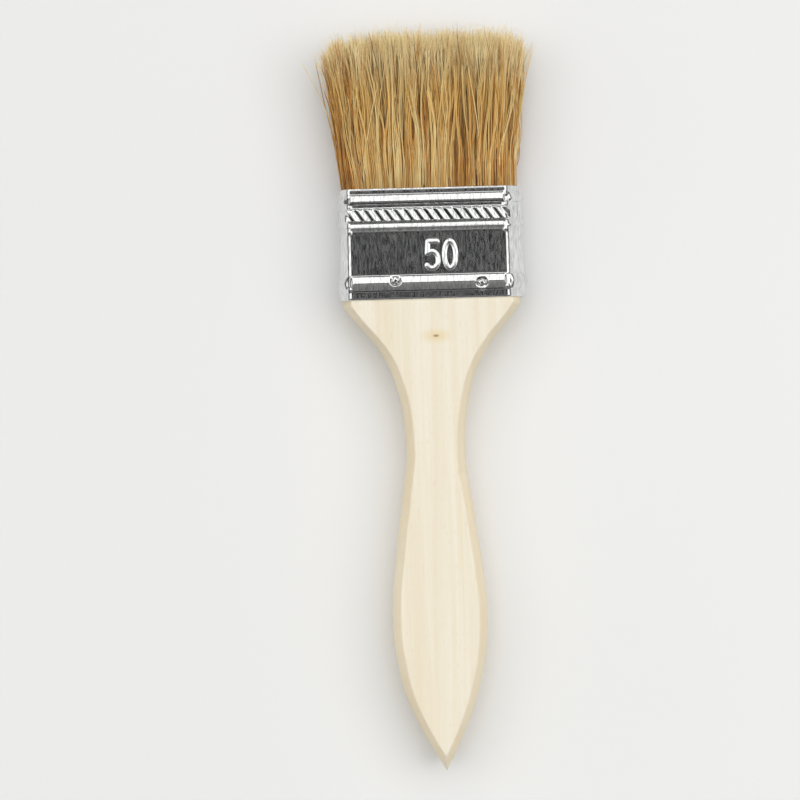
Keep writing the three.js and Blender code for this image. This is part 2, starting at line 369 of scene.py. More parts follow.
def make_resin():
    resin = Shader("resin", Roughness=0.3, Coat_Weight=0.3)
    cloud = resin.noise((420.0, 420.0, 420.0), detail=4.0)
    thin, deep = colour(150, 96, 46), colour(108, 62, 26)
    resin.drive(
        Base_Color=resin.mix(resin.stretch(cloud, 0.3, 0.7), thin, deep),
        Roughness=resin.stretch(cloud, 0.3, 0.7, 0.22, 0.42),
        Normal=resin.bump(cloud, 0.0002, strength=0.5),
    )
    return resin.material


def make_filler_wood():
    sawn = Shader("filler_wood", Roughness=0.8)
    grain = sawn.noise((1400.0, 60.0, 1400.0), detail=4.0, roughness=0.6)
    pale, dark = colour(222, 200, 160), colour(180, 150, 104)
    sawn.drive(
        Base_Color=sawn.mix(sawn.stretch(grain, 0.3, 0.75), pale, dark),
        Normal=sawn.bump(grain, 0.0002, strength=0.8),
    )
    return sawn.material


# Boar bristle from the darkest hairs to the palest. Each strand has one tone.
BRISTLE_TONES = (
    (0.00, (52, 34, 14)),
    (0.10, (108, 70, 28)),
    (0.22, (164, 102, 42)),
    (0.38, (206, 140, 62)),
    (0.56, (222, 174, 96)),
    (0.74, (234, 200, 130)),
    (0.88, (240, 216, 154)),
    (1.00, (244, 230, 182)),
)


def make_bristle():
    """Natural bristle. Each strand's tone is stored on its points, with how far along they are."""
    hair = Shader("bristle", Roughness=0.42, Specular_IOR_Level=0.45)
    strand = hair.add("Attribute", output="Color", attribute_name="strand")
    split = hair.tree.nodes.new("ShaderNodeSeparateColor")
    hair.feed(split.inputs[0], strand)
    tone, along, chance = split.outputs[0], split.outputs[1], split.outputs[2]
    mottle = hair.noise((900.0, 240.0, 900.0), detail=3.0)
    shifted = hair.math("ADD", tone, hair.stretch(mottle, 0.2, 0.8, -0.09, 0.09))
    body = hair.ramp(shifted, [(at, colour(*shade)) for at, shade in BRISTLE_TONES])
    body = hair.mix(hair.stretch(chance, 0.82, 0.97, 0.0, 0.5), body, colour(168, 144, 108))
    # Darker towards the roots, near the ferrule's mouth.
    body = hair.mix(hair.stretch(along, 0.0, 0.2, 0.2, 0.0), body, colour(96, 62, 28))
    fades = hair.stretch(chance, 0.02, 0.6)
    sunned = hair.math("MULTIPLY", hair.stretch(along, 0.1, 0.8, 0.0, 0.7), fades)
    shade = hair.mix(sunned, body, colour(236, 197, 114))
    bleached = hair.math("MULTIPLY", hair.stretch(along, 0.6, 0.95), fades)
    shade = hair.mix(bleached, shade, colour(255, 237, 186))
    scales = hair.noise((4000.0, 2600.0, 4000.0), detail=2.0)
    hair.drive(
        Base_Color=shade,
        Roughness=hair.stretch(scales, 0.3, 0.7, 0.34, 0.52),
    )
    return hair.material


# ---------------------------------------------------------------- handle

def bezier(points, shares):
    a, b, c, d = (np.array(p) for p in points)
    t = shares[:, None]
    return a * (1 - t) ** 3 + 3 * b * t * (1 - t) ** 2 + 3 * c * t**2 * (1 - t) + d * t**3


def ferrule_side(share, right, grow, ease_steps, arc_steps):
    """One side of the ferrule, at a share of the way from base to mouth, grown outwards."""
    base, mouth = RIGHT_BULGE if right else LEFT_BULGE
    crease = CREASE_RIGHT if right else -CREASE_LEFT
    bulge = base + (mouth - base) * share
    radius = (PANEL_HALF**2 + bulge**2) / (2 * bulge) + grow
    edge = crease + bulge + grow
    ease = CREASE_EASE + grow / 2
    return rounded_side(edge, radius, PANEL_HALF + grow, ease, ease_steps, arc_steps)


def handle_outline():
    """(half width, y) along the handle outside the ferrule, with more places near the tip."""
    even = np.linspace(0.0, 1.0, 70)
    closer_at_tip = 1.0 - (1.0 - even) ** 2.6
    upper, lower, end = HANDLE_CURVES
    curves = (bezier(upper, even), bezier(lower, even)[1:], bezier(end, closer_at_tip)[1:])
    return np.concatenate([[(SHOULDER[0], BASE_Y - 0.1)], *curves])[::-1]


def make_handle(material):
    flat_steps, ease_steps, arc_steps = 14, 5, 21
    radius = (HANDLE_HALF**2 + HANDLE_BULGE**2) / (2 * HANDLE_BULGE)
    rings = []
    for half_width, y in handle_outline():
        ease = min(HANDLE_EASE, half_width / 2)
        side = rounded_side(half_width, radius, HANDLE_HALF, ease, ease_steps, arc_steps)
        rings.append(at_height(bar_section(side, side, flat_steps, flat_steps, 0.5), y))
    for y in (BASE_Y, HEAD_END_Y):
        share = (y - BASE_Y) / FERRULE_LENGTH
        grow = -SHEET - HEAD_CLEARANCE
        left = ferrule_side(share, False, grow, ease_steps, arc_steps)
        right = ferrule_side(share, True, grow, ease_steps, arc_steps)
        rings.append(at_height(bar_section(left, right, flat_steps, flat_steps, 0.5), y))
    points = np.concatenate(rings)
    sand_handle(points)
    columns = len(rings[0])
    faces = list(ring_faces(len(rings), columns))
    faces.append(list(range(columns))[::-1])
    faces.append([(len(rings) - 1) * columns + i for i in range(columns)])
    return make_object("handle_wood_body", points, faces, material)


def sand_handle(points):
    """A slightly bent tip, small unevenness of a sanded edge, and one nick in the neck."""
    x, y, z = points.T
    exposed = smoothstep((BASE_Y - 1.0 - y) / 3.0) * smoothstep((y - TIP_Y) / 6.0)
    wobble = 0.05 * np.sin(y / 4.1 + 0.8) + 0.035 * np.sin(y / 1.9 + np.sign(x) * 1.3)
    inside = np.clip(np.abs(x) / 6.0, 0.0, 1.0)
    points[:, 0] += np.sign(x) * wobble * inside * exposed
    nick = np.exp(-(((y - NICK[1]) / 0.8) ** 2) - ((x - NICK[0]) / 0.9) ** 2) * (z > 0)
    points[:, 0] += TIP_BEND * smoothstep((TIP_Y + 18.0 - y) / 18.0) - 0.2 * nick
    points[:, 2] -= 0.34 * nick


# ---------------------------------------------------------------- ferrule

def along_bead(from_mouth, bead):
    """Height of a bead, and how far out from its crest a place is, from 0 to 1."""
    crest, height, to_mouth, to_base = bead
    reach = to_mouth if from_mouth < crest else to_base
    return height, min(abs(from_mouth - crest) / reach, 1.0)


def sharp_bead(from_mouth, bead):
    """A bead with sloping shoulders and steep feet."""
    height, t = along_bead(from_mouth, bead)
    return height * (1.0 - 0.72 * t**1.2 - 0.28 * t**8)


def pinched_bead(from_mouth, bead):
    """A bead that rises gently from the flat sheet to a narrow crest."""
    height, t = along_bead(from_mouth, bead)
    return height * (1.0 - t) ** 2.3


def turned_edge(from_mouth):
    """How far the strip's two cut edges are turned in."""
    at_mouth = 0.045 * float(np.clip(1.0 - from_mouth / 0.4, 0.0, 1.0))
    at_base = 0.16 * float(np.clip(1.0 - (FERRULE_LENGTH - from_mouth) / 0.25, 0.0, 1.0))
    return at_mouth + at_base


def corner_pinches(lift, ring, from_mouth):
    """The beads' pinched ends at the sheet's creases, and the knuckles that stand beside them."""
    for crease, side in ((CREASE_LEFT, -1.0), (CREASE_RIGHT, 1.0)):
        beyond = (ring[:, 0] - crease) * side
        for crest, _, to_mouth, to_base in (MOUTH_BEAD, THIN_BEAD, NAIL_BEAD):
            inside = smoothstep((from_mouth - crest + to_mouth) / PINCH_EDGE)
            inside *= smoothstep((crest + to_base - from_mouth) / PINCH_EDGE)
            pinch = inside * np.exp(-(((beyond + PINCH_INSET) / PINCH_WIDTH) ** 4))
            lift = lift * (1.0 - PINCH_DEPTH * pinch)
        sideways = beyond + KNUCKLE_INSET
        sideways = np.where(sideways > 0.0, KNUCKLE_STRETCH * sideways, sideways)
        for place in KNUCKLES:
            away = np.hypot(sideways, from_mouth - place) / KNUCKLE_RADIUS
            lift = np.maximum(lift, KNUCKLE_HEIGHT * (1.0 - away))
    return lift


def rope_height(from_mouth, around):
    """The rope band: strands that lean over like a twisted cord, each with one steep side."""
    t = float(np.clip((ROPE_CREST - from_mouth) / ROPE_REACH, -1.0, 1.0))
    lean = 1.0 * t + 0.35 * math.asin(t) * 2.0 / math.pi
    phase = (around + lean) / ROPE_PERIOD
    phase = phase - np.floor(phase)
    gentle = 1.0 - (phase / (1.0 - ROPE_RISE)) ** 1.15
    steep = (phase - (1.0 - ROPE_RISE)) / ROPE_RISE
    strand = np.where(phase < 1.0 - ROPE_RISE, gentle, steep)
    envelope = float(smoothstep((1.0 - abs(t)) / 0.3))
    return ROPE_HEIGHT * envelope * (0.22 + 0.78 * strand)


def stroke_distance(x, y, path):
    """Distance from each point to a path of straight runs."""
    best = np.full(x.shape, 1e9)
    for (ax, ay), (bx, by) in zip(path[:-1], path[1:]):
        dx, dy = bx - ax, by - ay
        t = np.clip(((x - ax) * dx + (y - ay) * dy) / (dx * dx + dy * dy), 0.0, 1.0)
        best = np.minimum(best, np.hypot(x - ax - t * dx, y - ay - t * dy))
    return best


def size_mark_height(x, from_mouth):
    """The size in millimetres, a plain 50, pressed out of the front panel."""
    height, reach, depth = 6.2, 0.52, 0.2
    left, bottom = -1.2, 18.7
    across, up = x - left, bottom - from_mouth
    bowl = np.linspace(math.radians(128), math.radians(-142), 18)
    five = [(2.7, height), (0.55, height), (0.35, 3.55)]
    five += [(1.4 + 1.45 * math.cos(a), 1.95 + 1.95 * math.sin(a)) for a in bowl]
    round_trip = np.linspace(0.0, 2.0 * math.pi, 33)
    nought = [(5.6 + 1.3 * math.sin(a), height / 2 + height / 2 * math.cos(a)) for a in round_trip]
    nearest = np.minimum(stroke_distance(across, up, five), stroke_distance(across, up, nought))
    return depth * (1.0 - np.clip(nearest / reach, 0.0, 1.0) ** 1.15)


def ferrule_rows():
    """Distances from the mouth of the sheet's rows of points, closer where there is relief."""
    runs = (
        (0.0, 0.4, 4), (0.4, 1.2, 3), (1.2, 2.95, 18), (2.95, 3.9, 10), (3.9, 4.3, 2),
        (4.3, 4.9, 7), (4.9, 7.4, 20), (7.4, 8.0, 6), (8.0, 9.0, 8), (9.0, 10.6, 12),
        (10.6, 11.9, 3), (11.9, 19.3, 55), (19.3, 19.95, 3), (19.95, 21.8, 19),
        (21.8, 23.9, 18), (23.9, 25.3, 5), (25.3, FERRULE_LENGTH, 3),
    )
    return np.concatenate([[0.0]] + [np.linspace(a, b, n + 1)[1:] for a, b, n in runs])


def gather_at_mark(x):
    """Moves evenly spread columns of the front closer together where the size mark is."""
    low, high = x[0], x[-1]
    place = np.linspace(low, high, 400)
    inside = smoothstep((place + 3.0) / 1.5) * smoothstep((8.3 - place) / 1.5)
    crowd = np.cumsum(1.0 + 1.05 * inside)
    crowd = (crowd - crowd[0]) / (crowd[-1] - crowd[0])
    return np.interp((x - low) / (high - low), crowd, place)


def ferrule_ring(from_mouth, grow):
    share = 1.0 - from_mouth / FERRULE_LENGTH
    left = ferrule_side(share, False, grow, 9, 36)
    right = ferrule_side(share, True, grow, 9, 40)
    section = bar_section(left, right, 244, 126, 0.16, gather_at_mark)
    return at_height(section, MOUTH_Y - from_mouth)


def outward(ring):
    """Unit vectors out of a section at each of its points."""
    along = np.roll(ring, -1, axis=0) - np.roll(ring, 1, axis=0)
    normal = np.stack([-along[:, 2], np.zeros(len(ring)), along[:, 0]], -1)
    return normal / np.linalg.norm(normal, axis=1, keepdims=True)


def nail_places():
    """(x, y, face) of the four nails: the back's are the front's with the brush turned over."""
    front = [(x, MOUTH_Y - from_mouth, 1) for x, from_mouth in NAIL_PLACES]
    back = [(-x, y, -1) for x, y, _ in reversed(front)]
    return front + back


def press_dimples(lift, ring, from_mouth):
    """Flattens the sheet where a nail head holds it down, with a slightly puckered rim."""
    for x, y, face in nail_places():
        dx, dy = ring[:, 0] - x, MOUTH_Y - from_mouth - y
        angle = np.arctan2(dy, dx)
        ears = np.exp(-(((np.abs(angle - math.pi / 2) - 0.85) / 0.35) ** 2))
        radius = np.hypot(dx, dy) * (1.0 - 0.16 * ears + 0.04 * np.cos(3 * angle + x))
        same_face = ring[:, 2] * face > 0
        held = np.clip((1.38 - radius) / 0.6, 0.0, 1.0) ** 0.9 * same_face
        lift = lift + (NAIL_SEAT - 0.06 - lift) * held
        pucker = np.exp(-((dx / 0.8) ** 2) - ((dy + 1.68) / 0.26) ** 2)
        lift = lift + 0.07 * pucker * same_face
    return lift


def sheet_unevenness(ring, around, from_mouth):
    """Slight waves of thin sheet, and the overlapping end of the strip on the right side."""
    waves = 0.012 * np.sin(around / 3.1 + from_mouth / 5.3) * np.sin(from_mouth / 2.9 + 0.7)
    waves += 0.008 * np.sin(around / 1.3 + 2.1) * np.sin(from_mouth / 4.1)
    below = SEAM_Z - ring[:, 2]
    lap = smoothstep(below / 0.12) * smoothstep((SEAM_Z + 9.0 - below) / 9.0)
    return waves + 0.28 * lap * (ring[:, 0] > CREASE_RIGHT)


def make_ferrule(material):
    rows = ferrule_rows()
    rings = []
    for from_mouth in rows[::-1]:
        ring = ferrule_ring(from_mouth, 0.0)
        step = np.linalg.norm(np.roll(ring, -1, axis=0) - ring, axis=1)
        around = np.concatenate([[0.0], np.cumsum(step)[:-1]])
        whole_strands = round(step.sum() / ROPE_PERIOD)
        rope_around = around / step.sum() * whole_strands * ROPE_PERIOD
        beads = sharp_bead(from_mouth, MOUTH_BEAD) + sharp_bead(from_mouth, NAIL_BEAD)
        beads = beads + pinched_bead(from_mouth, THIN_BEAD)
        past_crease = np.maximum(ring[:, 0] - CREASE_RIGHT, CREASE_LEFT - ring[:, 0])
        on_side = 1.0 - 0.5 * smoothstep(past_crease / 1.2)
        lift = np.maximum(beads, rope_height(from_mouth, rope_around) * on_side)
        lift = corner_pinches(lift, ring, from_mouth) - turned_edge(from_mouth)
        lift = press_dimples(lift, ring, from_mouth)
        front = ring[:, 2] > PANEL_HALF - 0.01
        lift = lift + np.where(front, size_mark_height(ring[:, 0], from_mouth), 0.0)
        lift = lift + sheet_unevenness(ring, around, from_mouth)
        rings.append(ring + outward(ring) * lift[:, None])
    for from_mouth in rows[:: len(rows) // 8]:
        rings.append(ferrule_ring(from_mouth, -SHEET))
    rings.append(ferrule_ring(FERRULE_LENGTH, -SHEET))
    points = np.concatenate(rings)
    faces = ring_faces(len(rings), len(rings[0]), closed=True)
    return make_object("ferrule_sheet", points, faces, material)


def make_nail(name, x, y, face, material):
    """A small nail whose domed head has been hammered into four low facets."""
    sides = 40
    point_length, rim = 1.1, 0.06
    dome = NAIL_HEAD_HEIGHT - rim
    profile = [(0.02, -NAIL_LENGTH), (NAIL_SHANK_RADIUS, point_length - NAIL_LENGTH)]
    profile += [(NAIL_SHANK_RADIUS, 0.0), (NAIL_HEAD_RADIUS - 0.05, 0.0), (NAIL_HEAD_RADIUS, 0.04)]
    for a in np.linspace(0.1, 0.97, 10):
        swing = a * math.pi / 2
        radius = NAIL_HEAD_RADIUS * math.cos(swing) ** 0.8
        profile.append((radius, rim + dome * math.sin(swing)))
    turn = np.linspace(0.0, 2 * math.pi, sides, endpoint=False)
    rings = []
    for radius, height in profile:
        facets = 1.0 + 0.15 * smoothstep(height / 0.1) * np.cos(4 * turn + 0.1 * x)
        ring = np.stack([radius * facets * np.cos(turn), radius * facets * np.sin(turn)], -1)
        ring = np.concatenate([ring, np.full((sides, 1), height)], -1)
        rings.append(ring)
    points = np.concatenate(rings)
    points[:, 2] += PANEL_HALF + NAIL_SEAT
    if face < 0:
        points *= (-1.0, 1.0, -1.0)
    points += (x, y, 0.0)
    faces = list(ring_faces(len(rings), sides))
    faces.append(list(range(sides))[::-1])
    faces.append([(len(rings) - 1) * sides + i for i in range(sides)])
    return make_object(name, points, faces, material)


# ---------------------------------------------------------------- bristle

STRANDS_PER_BANK = 3600
STRAND_SIDES = 3
ROOT_Y = MOUTH_Y - 7.0
FREE_SHARES = np.array([0.0, 0.09, 0.2, 0.31, 0.42, 0.53, 0.64, 0.74, 0.83, 0.92, 1.0])
STRAND_LENGTH = 33.2  # free length of most strands
STRAND_RAGGEDNESS = 0.95
TUFT_RAGGEDNESS = 0.85
CORNER_DROPS = (1.8, 0.5)  # how much shorter the left and the right corners are
BROKEN_SHARE = 0.08
LONG_SHARE = 0.05
WILD_SHARE = 0.12
STRAND_RADII = (0.085, 0.145)
FLARE_LEFT, FLARE_RIGHT = 2.9, 2.1
FLARE_THICKNESS = 0.75
TUFTS_PER_BANK = 120
SURFACE_LOCKS = 66  # small locks of hairs that lie loose over each bank's outer face
LOCK_HAIRS = 5
FLOOR_CLEARANCE = 0.25
ATLAS_COLUMNS = 128


def side_edge(z, right):
    """x of the bristle's edge at the ferrule's mouth, at a height."""
    bulge = (RIGHT_BULGE if right else LEFT_BULGE)[1]
    crease = CREASE_RIGHT if right else -CREASE_LEFT
    radius = (PANEL_HALF**2 + bulge**2) / (2 * bulge)
    edge = crease + bulge - radius + np.sqrt(radius**2 - z**2) - SHEET - 0.1
    return edge if right else -edge


def root_places(rng, face):
    """Evenly spread places of one bank's strands at the ferrule's mouth."""
    high = PANEL_HALF - SHEET - 0.12
    low = 0.08
    area = (side_edge(3.0, True) - side_edge(3.0, False)) * (high - low)
    pitch = math.sqrt(area / STRANDS_PER_BANK)
    z = np.arange(low, high, pitch)
    x = np.arange(-24.0, 24.0, pitch)
    x, z = np.meshgrid(x, z)
    x = x + (np.arange(len(z))[:, None] % 2) * pitch / 2
    x = (x + rng.uniform(-0.35, 0.35, x.shape) * pitch).ravel()
    z = (z + rng.uniform(-0.35, 0.35, z.shape) * pitch).ravel().clip(low, high)
    inside = (x > side_edge(z, False)) & (x < side_edge(z, True))
    return x[inside], z[inside] * face


def strand_lengths(rng, across, tuft_extra):
    """Free lengths: ragged from strand to strand and tuft to tuft, and lower at the left corner."""
    crown = 0.5 * np.cos((across - 0.1) * 2.0)
    lengths = STRAND_LENGTH + crown + rng.normal(0.0, STRAND_RAGGEDNESS, across.shape)
    lengths += tuft_extra
    lengths -= CORNER_DROPS[0] * smoothstep((-across - 0.77) / 0.23)
    lengths -= CORNER_DROPS[1] * smoothstep((across - 0.85) / 0.15)
    broken = rng.random(across.shape) < BROKEN_SHARE
    long = rng.random(across.shape) < LONG_SHARE
    lengths -= np.where(broken, rng.uniform(1.5, 10.0, across.shape), 0.0)
    lengths += np.where(long & ~broken, rng.uniform(0.5, 3.0, across.shape), 0.0)
    return np.minimum(lengths, PILE_LENGTH + 2.4)


def across_bank(x, z):
    """How far to the left (down to -1) or right (up to 1) places at the mouth are."""
    return np.where(x < 0, -x / side_edge(z, False), x / side_edge(z, True))


def flare(across):
    return np.where(across < 0, -FLARE_LEFT, FLARE_RIGHT) * np.abs(across) ** 1.6


def lean_power(across):
    """How late along a strand it leans out: sooner on the left."""
    return 1.5 - 0.55 * smoothstep(-across / 0.9)


def gather_tufts(rng, x, z):
    """Which tuft each strand belongs to, and its way to the tuft's middle."""
    middle = rng.choice(len(x), TUFTS_PER_BANK, replace=False)
    apart = np.hypot(x[:, None] - x[middle][None, :], (z[:, None] - z[middle][None, :]) * 1.3)
    tuft = np.argmin(apart, axis=1)
    return tuft, x[middle][tuft] - x, z[middle][tuft] - z


def ripples(rng, count, size, fewest, most):
    """Sideways and upwards waves along u for each of a number of hairs."""
    height = rng.normal(0.0, size, (2, count, 1))
    turns = rng.uniform(fewest, most, (2, count, 1))
    start = rng.uniform(0.0, 2 * math.pi, (2, count, 1))
    u = FREE_SHARES[None, None, :]
    return height * np.sin(2 * math.pi * turns * u + start) * smoothstep(u * 2.5)


def root_points(x, z, face):
    """Where strands start, inside the resin and clear of the filler strip."""
    depth = np.abs(z) / PANEL_HALF * (PANEL_HALF - SHEET - 2.5)
    return np.stack([x * 0.965, np.full(len(x), ROOT_Y), face * (1.7 + depth)], -1)


def bank_paths(rng, face):
    """Centre lines of one bank's strands, how far across each is, and which tuft it is in."""
    x0, z0 = root_places(rng, face)
    count = len(x0)
    across = across_bank(x0, z0)
    tuft, pull_x, pull_z = gather_tufts(rng, x0, z0)
    tuft_extra = rng.normal(0.0, TUFT_RAGGEDNESS, TUFTS_PER_BANK)[tuft]
    lengths = strand_lengths(rng, across, tuft_extra)
    tuft_x = rng.normal(0.0, 0.62, TUFTS_PER_BANK)[tuft]
    tuft_z = rng.normal(0.0, 0.3, TUFTS_PER_BANK)[tuft]
    pull = rng.uniform(0.25, 0.8, count)
    wild = rng.random(count) < WILD_SHARE
    own_x = rng.normal(0.0, np.where(wild, 1.9, 0.55))
    own_z = rng.normal(0.0, np.where(wild, 0.7, 0.3))
    waves = ripples(rng, count, 0.17, 0.5, 1.7)
    waves += ripples(rng, TUFTS_PER_BANK, 0.28, 0.5, 1.3)[:, tuft]

    u = FREE_SHARES[None, :]
    own_bend = u ** rng.uniform(1.2, 3.0, (count, 1))
    leaning = u ** lean_power(across)[:, None]
    gathered = smoothstep(u / 0.7) * (1.0 - 0.45 * smoothstep((u - 0.7) / 0.3))
    path = np.zeros((count, len(FREE_SHARES), 3))
    steady_x = flare(across) + tuft_x
    steady_z = FLARE_THICKNESS * z0 / (PANEL_HALF - SHEET) + tuft_z
    shifts = ((0, x0, steady_x, own_x, pull_x), (2, z0, steady_z, own_z, pull_z))
    for n, (axis, origin, steady, own, to_middle) in enumerate(shifts):
        path[:, :, axis] = origin[:, None] + steady[:, None] * leaning + own[:, None] * own_bend
        path[:, :, axis] += (pull * to_middle)[:, None] * gathered + waves[n]
    path[:, :, 1] = MOUTH_Y + lengths[:, None] * u
    root = root_points(x0, z0, face)
    return np.concatenate([root[:, None, :], path], axis=1), across, tuft


def surface_paths(rng, face):
    """Small locks of looser hairs over a bank's outer face, some of them lying across the rest."""
    lock = np.repeat(np.arange(SURFACE_LOCKS), LOCK_HAIRS)
    count = len(lock)
    across = rng.uniform(-0.97, 0.97, SURFACE_LOCKS)[lock]
    z0 = face * rng.uniform(6.2, 6.75, count)
    x0 = np.abs(across) * np.where(across < 0, side_edge(z0, False), side_edge(z0, True))
    lengths = rng.uniform(21.0, 35.0, SURFACE_LOCKS)[lock] + rng.normal(0.0, 0.8, count)
    lean = flare(across) + rng.normal(0.0, 1.7, SURFACE_LOCKS)[lock] + rng.normal(0.0, 0.25, count)
    rise = rng.uniform(0.4, 1.1, SURFACE_LOCKS)[lock] + rng.uniform(-0.15, 0.15, count)
    turns = rng.uniform(0.6, 1.6, SURFACE_LOCKS)[lock]
    start = rng.uniform(0.0, 2 * math.pi, SURFACE_LOCKS)[lock]
    apart = rng.normal(0.0, 0.42, count)
    u = FREE_SHARES[None, :]
    path = np.zeros((count, len(FREE_SHARES), 3))
    sway = 0.42 * np.sin(2 * math.pi * turns[:, None] * u + start[:, None]) * smoothstep(u * 2.0)
    together = 1.0 - 0.75 * smoothstep(u / 0.65) + 0.3 * smoothstep((u - 0.75) / 0.25)
    leaning = u ** (lean_power(across)[:, None] + 0.25)
    path[:, :, 0] = x0[:, None] + lean[:, None] * leaning + sway + apart[:, None] * together
    path[:, :, 1] = MOUTH_Y + lengths[:, None] * u
    path[:, :, 2] = z0[:, None] + face * rise[:, None] * np.sin(u * math.pi * 0.62)
    edges = side_edge(z0, False)[:, None] + 0.1, side_edge(z0, True)[:, None] - 0.1
    path[:, :2, 0] = np.clip(path[:, :2, 0], *edges)
    root = root_points(path[:, 0, 0], z0, face)
    return np.concatenate([root[:, None, :], path], axis=1), across, lock


def keep_off_floor(path):
    lowest = FLOOR_CLEARANCE - MIDDLE_Z
    sunk = np.minimum(path[..., 2] - lowest, 0.0)
    path[..., 2] = np.where(sunk < 0, lowest + 0.15 * (1 - np.exp(sunk)), path[..., 2])


def build_strands(name, paths, radii, shades, material):
    """One mesh of tapered strands. Shades are (tone, chance) for each strand."""
    count, rings, _ = paths.shape
    angle = -np.linspace(0.0, 2 * math.pi, STRAND_SIDES, endpoint=False)
    circle = np.stack([np.cos(angle), np.zeros(STRAND_SIDES), np.sin(angle)], -1)
    points = paths[:, :, None, :] + radii[:, :, None, None] * circle[None, None]
    row = np.arange(rings - 1)[:, None] * STRAND_SIDES
    above = row + STRAND_SIDES
    column = np.arange(STRAND_SIDES)[None, :]
    after = (column + 1) % STRAND_SIDES
    quads = np.stack([row + column, row + after, above + after, above + column], -1)
    first = np.arange(count)[:, None, None] * (rings * STRAND_SIDES)
    sides = (first + quads.reshape(1, -1, 4)).reshape(-1, 4)
    bottoms = first[:, :, 0] + np.arange(STRAND_SIDES)[::-1]
    tops = first[:, :, 0] + (rings - 1) * STRAND_SIDES + np.arange(STRAND_SIDES)
    faces = [*sides.tolist(), *bottoms.tolist(), *tops.tolist()]
    thing = make_object(name, points.reshape(-1, 3), faces, material)

    along = np.clip((paths[:, :, 1] - MOUTH_Y) / PILE_LENGTH, 0.0, 1.0)
    values = np.ones((count, rings, STRAND_SIDES, 4))
    values[..., 0] = shades[:, 0, None, None]
    values[..., 1] = along[:, :, None]
    values[..., 2] = shades[:, 1, None, None]
    attribute = thing.data.color_attributes.new("strand", "FLOAT_COLOR", "POINT")
    attribute.data.foreach_set("color", values.astype(np.float32).ravel())
    lay_out_strands(thing.data, count, rings)
    return thing


def lay_out_strands(mesh, count, rings):
    """Gives every strand its own narrow cell of a UV map."""
    strand = np.arange(count)
    tall = math.ceil(count / ATLAS_COLUMNS)
    left = (strand % ATLAS_COLUMNS) / ATLAS_COLUMNS
    bottom = (strand // ATLAS_COLUMNS) / tall
    width, height = 1.0 / ATLAS_COLUMNS, 1.0 / tall
    row, column = np.meshgrid(np.arange(rings - 1), np.arange(STRAND_SIDES), indexing="ij")
    row, column = row.ravel(), column.ravel()
    u = np.stack([column, column + 1, column + 1, column], -1) / STRAND_SIDES * 0.7 + 0.15
    v = np.stack([row, row, row + 1, row + 1], -1) / (rings - 1) * 0.9 + 0.05
    sides_u = left[:, None, None] + u[None] * width
    sides_v = bottom[:, None, None] + v[None] * height
    end_u = np.tile(np.array([0.3, 0.5, 0.7]), (count, 1)) * width + left[:, None]
    ends = []
    for at in (np.array([0.03, 0.05, 0.03]), np.array([0.97, 0.95, 0.97])):
        end_v = bottom[:, None] + at[None, :] * height
        ends.append(np.stack([end_u, end_v], -1).reshape(-1, 2))
    flat = np.concatenate([np.stack([sides_u, sides_v], -1).reshape(-1, 2), *ends])
    layer = mesh.uv_layers.new(name="OFBake")
    layer.data.foreach_set("uv", flat.astype(np.float32).ravel())


def strand_radii(rng, paths):
    """Thick at the root, fine at the tip."""
    thick = rng.uniform(*STRAND_RADII, (len(paths), 1))
    along = np.clip((paths[:, :, 1] - MOUTH_Y) / PILE_LENGTH, 0.0, 1.0)
    last = np.zeros_like(along)
    last[:, -1] = 1.0
    return thick * (1.0 - 0.5 * along**1.4) * (1.0 - 0.8 * last)


def strand_tones(rng, x, tuft):
    """A mix of hairs, mostly golden, in loose streaks and tufts across the brush."""
    count = len(x)
    streak = 0.07 * np.sin(x * 1.9 + 0.6) + 0.05 * np.sin(x * 4.3 + 2.0) + 0.04 * np.sin(x * 0.7)
    tone = rng.normal(0.485, 0.1, count) + streak + rng.normal(0.0, 0.055, TUFTS_PER_BANK)[tuft]
    dark = rng.random(count) < 0.05
    tone = np.where(dark, rng.uniform(0.0, 0.26, count), tone)
    pale = rng.random(count) < 0.12
    tone = np.where(pale & ~dark, rng.uniform(0.78, 1.0, count), tone)
    return np.stack([np.clip(tone, 0.02, 0.98), rng.random(count)], -1)


def surface_tones(rng, lock):
    tone = rng.uniform(0.42, 0.86, SURFACE_LOCKS)
    dark = rng.random(SURFACE_LOCKS) < 0.07
    tone = np.where(dark, rng.uniform(0.03, 0.3, SURFACE_LOCKS), tone)[lock]
    tone = tone + rng.normal(0.0, 0.06, len(lock))
    return np.stack([np.clip(tone, 0.02, 0.98), rng.random(SURFACE_LOCKS)[lock]], -1)


def make_bank(rng, face, material):
    """One bank as three meshes, left, middle and right, with the split ends of its strands."""
    paths, across, tuft = bank_paths(rng, face)
    shades = strand_tones(rng, paths[:, 1, 0], tuft)
    loose, loose_across, lock = surface_paths(rng, face)
    paths = np.concatenate([paths, loose])
    across = np.concatenate([across, loose_across])
    shades = np.concatenate([shades, surface_tones(rng, lock)])
    keep_off_floor(paths)
    radii = strand_radii(rng, paths)
    radii[-len(lock) :, 2:] *= 1.25
    side = {1: "front", -1: "back"}[face]
    parts = []
    for label, low, high in (("left", -2.0, -0.34), ("middle", -0.34, 0.34), ("right", 0.34, 2.0)):
        chosen = (across >= low) & (across < high)
        name = f"bristle_{side}_{label}"
        parts.append(build_strands(name, paths[chosen], radii[chosen], shades[chosen], material))
    flags = make_flags(rng, paths, shades, f"bristle_{side}_split_ends", material)
    return [*parts, flags]


